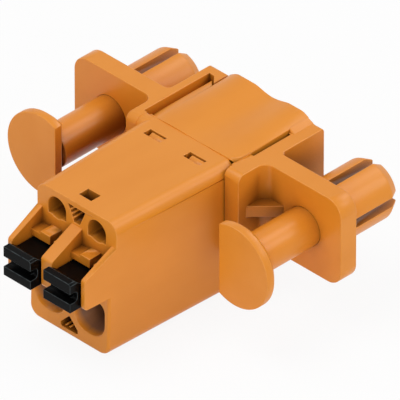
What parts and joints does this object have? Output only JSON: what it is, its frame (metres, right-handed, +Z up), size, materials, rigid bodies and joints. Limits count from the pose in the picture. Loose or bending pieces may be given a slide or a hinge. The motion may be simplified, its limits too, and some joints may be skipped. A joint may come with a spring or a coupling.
{
  "type": "circuit board connector",
  "caption": "Plug of a circuit board connector with spring clamps, release buttons, and split dowels on its flanges that thumb pins spread in a panel.",
  "frame": {"origin": "midway between the axes of the two split dowels, in the plane of the flange plates' backs, where the plug meets the panel", "axes": "+Y along the dowels, out of the mating side, with the wire entries on the -Y side; +X along the row of poles; +Z up, to the side with the latch windows"},
  "size_m": [0.034, 0.0309, 0.0148],
  "materials": {
    "orange_plastic": "satin",
    "black_plastic": "satin",
    "tinned_copper": "satin",
    "spring_steel": "satin"
  },
  "bodies": {
    "plug": {"wire_housing": "orange_plastic", "contact_carrier": "orange_plastic", "flange_left": "orange_plastic", "flange_right": "orange_plastic", "current_bar_1": "tinned_copper", "current_bar_2": "tinned_copper", "clamp_spring_1": "spring_steel", "clamp_spring_2": "spring_steel", "socket_contact_1": "tinned_copper", "socket_contact_2": "tinned_copper", "over_spring_1": "spring_steel", "over_spring_2": "spring_steel"},
    "thumb_pin_left": {"pin_left": "orange_plastic"},
    "thumb_pin_right": {"pin_right": "orange_plastic"},
    "button_1": {"release_button_1": "black_plastic"},
    "button_2": {"release_button_2": "black_plastic"}
  },
  "joints": [
    {"name": "pin_left_slide", "type": "slide", "parent": "plug", "child": "thumb_pin_left", "axis": [0, 1, 0], "range_m": [0, 0.0075]},
    {"name": "pin_right_slide", "type": "slide", "parent": "plug", "child": "thumb_pin_right", "axis": [0, 1, 0], "range_m": [0, 0.0075]},
    {"name": "button_1_slide", "type": "slide", "parent": "plug", "child": "button_1", "axis": [0, 1, 0], "range_m": [0, 0.0015], "stiffness_N_per_m": 2000, "springref_m": -0.0015, "deforming": ["clamp_spring_1"]},
    {"name": "button_2_slide", "type": "slide", "parent": "plug", "child": "button_2", "axis": [0, 1, 0], "range_m": [0, 0.0015], "stiffness_N_per_m": 2000, "springref_m": -0.0015, "deforming": ["clamp_spring_2"]}
  ]
}
